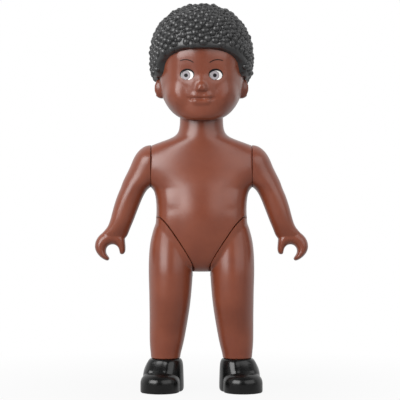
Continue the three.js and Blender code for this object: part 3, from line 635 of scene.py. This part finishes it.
clad(head, vinyl)
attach(head, "head")
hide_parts("head_shell")

# Eyes and brows: pad printed on the face in thin layers of ink. The dark lid line comes first,
# and the white, the ring round the iris, the iris and the pupil are printed over it in turn.
ink_step = 0.03  # each layer stands this far above the last
eye_centre = Vector((5.6, 0, 12.4))  # from the neck joint
brow_height = 6.2  # above the eye's centre
print_front = -30  # the sheets start in front of the face, and are then pressed on to it
disc_steps = 6  # rings in a disc, which let it bend to the face
bow_edge = 0.5  # share of a bow's thickness that it has all along
bow_full = 0.45  # share that it has at the top of its arch only


def printed(piece, layer, material):
    """Presses a flat sheet that faces the viewer on to the face as a film of ink."""
    applied(piece, "SHRINKWRAP", target=head, wrap_method="PROJECT", use_project_y=True,
            use_negative_direction=True, use_positive_direction=True,
            offset=ink_step * layer * MM)
    applied(piece, "SOLIDIFY", thickness=ink_step * MM, offset=1)
    clad(piece, material)
    smooth_but_edges(piece, degrees=60)
    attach(piece, "head")


def disc(name, x, z, half_width, half_height, flat_below):
    """A thin disc in front of the face, from the neck joint, with its lower edge cut level."""
    bpy.ops.mesh.primitive_circle_add(
        vertices=48, radius=MM, fill_type="NGON", location=(0, 0, 0), rotation=(math.pi / 2, 0, 0))
    piece = bpy.context.object
    piece.name = name
    bpy.ops.object.transform_apply(rotation=True)
    edit(piece)
    bpy.ops.mesh.select_mode(type="FACE")
    bpy.ops.transform.resize(value=(half_width, 1, half_height), center_override=(0, 0, 0))
    step = min(half_width, half_height) / (disc_steps + 2)
    for _ in range(disc_steps):
        bpy.ops.mesh.inset(thickness=step * MM, depth=0)
    bpy.ops.mesh.select_all(action="SELECT")
    if flat_below is not None:
        bpy.ops.mesh.bisect(
            plane_co=(0, 0, -flat_below * MM), plane_no=(0, 0, -1), clear_outer=True)
        bpy.ops.mesh.select_all(action="SELECT")
    bpy.ops.transform.translate(value=(neck + Vector((x, print_front, z))) * MM)
    bpy.ops.object.mode_set(mode="OBJECT")
    return piece


def ink(name, code, speck, rough):
    """Printing ink: a thin even film, a little darker where it gathers in specks."""
    material = new_material(name)
    tree = material.node_tree
    speck_mm = 0.4
    specks = noise(tree, speck_mm, detail=2)
    surfaced(tree, {
        "Base Color": tinted(tree, specks, speck, code), "Roughness": rough,
        "Specular IOR Level": 0.25})
    return material


def arched(name, x, z, half, rise, thick, tilt):
    """A thin bow in front of the face, cut from a ring that is fuller at the top of its arch."""
    radius = (half * half + rise * rise) / (2 * rise)
    top = neck + Vector((x, print_front, z))
    bpy.ops.mesh.primitive_circle_add(
        vertices=128, radius=radius * MM, location=(0, 0, 0), rotation=(math.pi / 2, 0, 0))
    piece = bpy.context.object
    piece.name = name
    bpy.ops.object.transform_apply(rotation=True)
    edit(piece)
    bpy.ops.mesh.extrude_edges_move()
    shrunk = 1 - bow_edge * thick / radius
    bpy.ops.transform.resize(value=(shrunk, 1, shrunk), center_override=(0, 0, 0))
    bpy.ops.transform.translate(value=(0, 0, -bow_full * thick * MM))
    bpy.ops.mesh.select_all(action="SELECT")
    bpy.ops.mesh.bisect(
        plane_co=(0, 0, (radius - rise) * MM), plane_no=(0, 0, -1), clear_outer=True)
    bpy.ops.mesh.select_all(action="SELECT")
    bpy.ops.transform.translate(value=(0, 0, -radius * MM))
    bpy.ops.transform.rotate(
        value=math.radians(tilt), orient_axis="Y", center_override=(0, 0, 0))
    bpy.ops.transform.translate(value=top * MM)
    bpy.ops.object.mode_set(mode="OBJECT")
    return piece


white_ink = ink("white_printing_ink", "#f2f0ee", "#e6e2df", 0.35)
ring_ink = ink("dark_grey_printing_ink", "#4a4447", "#3d383a", 0.35)
iris_ink = ink("grey_printing_ink", "#aca6aa", "#9a9498", 0.35)
black_ink = ink("black_printing_ink", "#120d0f", "#0c090a", 0.4)
brow_ink = ink("brown_printing_ink", "#2e150f", "#26110c", 0.4)

# Layer, place across and above the eye's centre, half width, half height, level lower edge and ink
eye_layers = [
    ("lid_line", -0.05, 0.36, 2.8, 2.24, 1.1, black_ink),
    ("eye_white", 0, 0, 2.42, 1.86, 1.7, white_ink),
    ("iris_ring", -0.5, 0.02, 1.76, 1.76, 1.66, ring_ink),
    ("iris", -0.5, 0.02, 1.6, 1.62, 1.6, iris_ink),
    ("pupil", -0.45, 0, 0.74, 0.74, None, black_ink),
]
for side, sign in (("left", 1), ("right", -1)):
    x = eye_centre.x * sign
    z = eye_centre.z
    for layer, (name, across, up, wide, high, flat_below, film) in enumerate(eye_layers, 1):
        sheet = disc(f"{side}_{name}", x + across, z + up, wide, high, flat_below)
        printed(sheet, layer, film)
    brow = arched(
        f"{side}_brow", x, z + brow_height, half=2.9, rise=0.9, thick=0.4, tilt=9 * sign)
    printed(brow, 1, brow_ink)

# Hair: a separate cap of black vinyl with tight moulded curls, pushed over the skull and glued.
# Its rim stands proud of the forehead as a thick rounded edge and dips behind the ears to the
# nape.
curl_mm = 2.7  # from one curl to the next
curl_radius = 1.72
curl_sunk = 0.86  # centre of a curl under the cap's skin
curl_base = 0.1  # a curl is cut off this far under its centre
cap_radius = 20.5
close_packed = 0.866  # area that a curl takes, as a share of a square of that width
scatter = 0.012
front_from = -0.45  # rays that point further forward than this meet the front of the cap
front_lowest = -0.1  # least upward share of the skin's normal there, so that the rim stays bare
lowest = -0.42  # and elsewhere
glancing = 0.5

# Height above the neck joint, half width, reach in front of the neck's axis and behind it
hair_rings = [
    (2.0, 14.6, 12.6, 16.6),
    (4.0, 17.8, 16.0, 19.4),
    (9.0, 19.0, 17.8, 21.0),
    (14.0, 19.7, 19.0, 21.8),
    (19.0, 20.1, 19.9, 22.1),
    (24.0, 20.1, 20.3, 21.9),
    (28.5, 19.2, 19.9, 20.9),
    (32.5, 17.3, 18.3, 18.9),
    (36.3, 14.2, 15.4, 15.7),
    (39.2, 10.2, 11.4, 11.5),
    (41.0, 5.6, 6.4, 6.4),
    (41.4, 2.2, 2.4, 2.4),
]
hair = drawn_up("hair_moulding", [
    (0, neck.y + (back - front) / 2, neck.z + h, w, (back + front) / 2)
    for h, w, front, back in hair_rings], sides=32)

# What lies under the hairline, as a block whose top is drawn back in steps from the forehead to
# the nape: place behind the neck's axis and height above the neck joint
hairline = [
    (-24, 22.8), (-17.2, 22.6), (-14.3, 20.9), (-11.9, 19.6), (-9.6, 18.0), (-8.5, 16.4),
    (-7.6, 14.2), (-5.0, 12.9), (2.0, 12.6), (8.0, 10.4), (14.0, 8.2), (24, 6.8)]
block_size = 60
block_depth = 40
same_row = 1e-5
bpy.ops.mesh.primitive_grid_add(
    x_subdivisions=1, y_subdivisions=len(hairline) - 1, size=block_size * MM, location=(0, 0, 0))
under = bpy.context.object
rows = sorted({round(vertex.co.y, 6) for vertex in under.data.vertices})
row_points = [
    [v.index for v in under.data.vertices if abs(v.co.y - row) < same_row] for row in rows]
for row, points, (y, z) in zip(rows, row_points, hairline):
    pick(under, "VERT", lambda vertex: vertex.index in points)
    bpy.ops.transform.translate(value=(neck + Vector((0, y, z))) * MM - Vector((0, row, 0)))
    bpy.ops.object.mode_set(mode="OBJECT")
edit(under)
bpy.ops.mesh.extrude_region_move(TRANSFORM_OT_translate={"value": (0, 0, -block_depth * MM)})
faced_out()
applied(hair, "BOOLEAN", object=under, operation="DIFFERENCE", solver="EXACT")
bpy.data.objects.remove(under)
skinned(hair, voxel=0.4, passes=30)

# One curl, a small dome of a few dozen faces, copied all over the cap in a scattered spiral
bpy.ops.mesh.primitive_ico_sphere_add(
    subdivisions=2, radius=curl_radius * MM, location=(0, 0, 0))
curl = bpy.context.object
edit(curl)
bpy.ops.mesh.bisect(plane_co=(0, 0, -curl_base * MM), plane_no=(0, 0, -1), clear_outer=True)
bpy.ops.object.mode_set(mode="OBJECT")
heart = neck + Vector((0, 0.8, 20))  # middle of the cap, from which its skin is found
lay = random.Random(4)
golden_turn = math.pi * (3 - math.sqrt(5))
across_all = round(4 * math.pi * cap_radius ** 2 / (close_packed * curl_mm ** 2))
pieces = [hair]
for number in range(across_all):
    up = 1 - 2 * (number + 0.5) / across_all
    bearing = number * golden_turn
    level = Vector((math.cos(bearing), math.sin(bearing), 0))
    ray = level * math.sqrt(1 - up * up) + Vector((0, 0, up))
    shift = Vector((lay.uniform(-1, 1), lay.uniform(-1, 1), lay.uniform(-1, 1))) * scatter
    found, hit, normal, _ = hair.ray_cast(heart * MM, (ray + shift).normalized())
    least = front_lowest if ray.y < front_from else lowest
    if found and normal.z > least and normal.dot(ray) > glancing:
        copy = twin(curl, "curl")
        copy.location = hit - normal * curl_sunk * MM
        copy.rotation_euler = normal.to_track_quat("Z", "Y").to_euler()
        copy.scale = [lay.uniform(0.85, 1.15), lay.uniform(0.85, 1.15), lay.uniform(0.85, 1.25)]
        pieces.append(copy)
bpy.data.objects.remove(curl)
joined(pieces)
smooth_but_edges(hair, degrees=60)

# Black hair vinyl: satin, a shade off black, each curl catching its own small highlight.
tone_mm = 5
satin_black = new_material("black_satin_vinyl")
tree = satin_black.node_tree
tones = noise(tree, tone_mm, detail=4)
surfaced(tree, {
    "Base Color": tinted(tree, tones, "#141415", "#1e1e1f"),
    "Roughness": ranged(tree, tones, 0.32, 0.42), "IOR": 1.75})
clad(hair, satin_black)
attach(hair, "head")
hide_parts("hair_cap")

# Pegs: the neck stud and hip pegs are moulded in uncoloured acetal, a slippery plastic that
# turns well in vinyl. They are caught in the shells, out of sight, so the CAD solids serve.
mottle_mm = 2
acetal = new_material("natural_acetal")
tree = acetal.node_tree
mottle = noise(tree, mottle_mm, detail=2)
surfaced(tree, {
    "Base Color": tinted(tree, mottle, "#cfc8b8", "#dcd6c8"), "Roughness": 0.45, "IOR": 1.48})
for name in ("neck_stud", "left_hip_peg", "right_hip_peg"):
    clad(frame["nodes"][name], acetal)

# Studio: a white floor that runs out of sight, a white surround and two wide soft boxes.
# The camera stands level in front of the doll at about its middle, as in the photograph.
white = linear("#ffffff")
bpy.ops.mesh.primitive_plane_add(size=6, location=(0, 0, 0))
floor = bpy.context.object
floor.name = "floor"


def seen_straight(tree, path):
    """Is 1 for what the camera sees itself or through something clear."""
    return add_node(tree, "ShaderNodeMath", {"operation": "MAXIMUM"}, {
        0: path.outputs["Is Camera Ray"], 1: path.outputs["Is Transmission Ray"]}).outputs["Value"]


# White paper: pure white to the camera, a little darker at the doll's feet, and dim in front
# of the doll to what mirrors it.
paper = new_material("white_paper")
tree = paper.node_tree
path = add_node(tree, "ShaderNodeLightPath")
place = add_node(tree, "ShaderNodeTexCoord").outputs["Object"]
away = add_node(tree, "ShaderNodeVectorMath", {"operation": "LENGTH"}, {"Vector": place})
fade = add_node(tree, "ShaderNodeMapRange", inputs={
    "Value": away.outputs["Value"], "From Min": 0.04, "From Max": 0.16,
    "To Min": 0.92, "To Max": 1})
seen = add_node(tree, "ShaderNodeMath", {"operation": "MULTIPLY"}, {
    0: seen_straight(tree, path), 1: fade.outputs["Result"]})
depth = add_node(tree, "ShaderNodeSeparateXYZ", inputs={"Vector": place})
rear = add_node(tree, "ShaderNodeMapRange", {"interpolation_type": "SMOOTHSTEP"}, {
    "Value": depth.outputs["Y"], "From Min": -0.03, "From Max": 0.01, "To Min": 0, "To Max": 0.4})
reflected = add_node(tree, "ShaderNodeMath", {"operation": "MULTIPLY_ADD"}, {
    0: path.outputs["Is Glossy Ray"], 1: rear.outputs["Result"], 2: seen.outputs["Value"]})
matt = add_node(tree, "ShaderNodeBsdfDiffuse", inputs={"Color": linear("#909090")})
lit = add_node(tree, "ShaderNodeEmission", inputs={"Color": white, "Strength": 1})
mixed = add_node(tree, "ShaderNodeMixShader", inputs={
    0: reflected.outputs["Value"], 1: matt.outputs["BSDF"], 2: lit.outputs["Emission"]})
add_node(tree, "ShaderNodeOutputMaterial", inputs={"Surface": mixed.outputs["Shader"]})
floor.data.materials.append(paper)

# Surround: white to the camera, a soft fill from above, and a room that is lighter behind the
# doll to what mirrors it.
world = bpy.data.worlds.new("studio")
world.use_nodes = True
bpy.context.scene.world = world
tree = world.node_tree
tree.nodes.clear()
path = add_node(tree, "ShaderNodeLightPath")
direction = add_node(tree, "ShaderNodeTexCoord").outputs["Generated"]
towards = add_node(tree, "ShaderNodeSeparateXYZ", inputs={"Vector": direction})
sweep = add_node(tree, "ShaderNodeMapRange", {"interpolation_type": "SMOOTHSTEP"}, {
    "Value": towards.outputs["Y"], "From Min": -0.5, "From Max": 0.5,
    "To Min": 0.05, "To Max": 0.8})
overhead = add_node(tree, "ShaderNodeMapRange", inputs={
    "Value": towards.outputs["Z"], "From Min": 0.05, "From Max": 1, "To Min": 0, "To Max": 1.3})
fill = add_node(tree, "ShaderNodeBackground", inputs={
    "Color": white, "Strength": overhead.outputs["Result"]})
mirrored_room = add_node(tree, "ShaderNodeBackground", inputs={
    "Color": white, "Strength": sweep.outputs["Result"]})
backdrop = add_node(tree, "ShaderNodeBackground", inputs={"Color": white, "Strength": 1})
gloss = add_node(tree, "ShaderNodeMixShader", inputs={
    0: path.outputs["Is Glossy Ray"], 1: fill.outputs["Background"],
    2: mirrored_room.outputs["Background"]})
mixed = add_node(tree, "ShaderNodeMixShader", inputs={
    0: seen_straight(tree, path), 1: gloss.outputs["Shader"], 2: backdrop.outputs["Background"]})
add_node(tree, "ShaderNodeOutputWorld", inputs={"Surface": mixed.outputs["Shader"]})


def soft_box(name, place, aim, width, height, power):
    """A wide lamp that points at the doll, in metres and watts."""
    bpy.ops.object.light_add(type="AREA", location=place)
    lamp = bpy.context.object
    lamp.name = name
    lamp.data.shape = "RECTANGLE"
    lamp.data.size = width
    lamp.data.size_y = height
    lamp.data.energy = power
    lamp.rotation_euler = (Vector(aim) - Vector(place)).to_track_quat("-Z", "Y").to_euler()


chest = (0, 0, 0.1)
soft_box("left_box", (-0.519, -0.537, 0.39), chest, width=0.64, height=0.5, power=5.8)
soft_box("right_box", (0.519, -0.537, 0.41), chest, width=0.9, height=0.6, power=2.5)

photo_side_px = 400
px_per_mm = 2.5  # at the plane of the neck's axis
centre_line_px = 201.5
camera_side = (photo_side_px / 2 - centre_line_px) / px_per_mm
camera_distance = 585
camera_height = 76.2
sensor_mm = 36
bpy.ops.object.camera_add(
    location=Vector((camera_side, neck.y - camera_distance, camera_height)) * MM,
    rotation=(math.pi / 2, 0, 0))
camera = bpy.context.object
camera.data.sensor_width = sensor_mm
camera.data.lens = sensor_mm * camera_distance * px_per_mm / photo_side_px
bpy.context.scene.camera = camera
bpy.context.scene.view_settings.view_transform = "Standard"
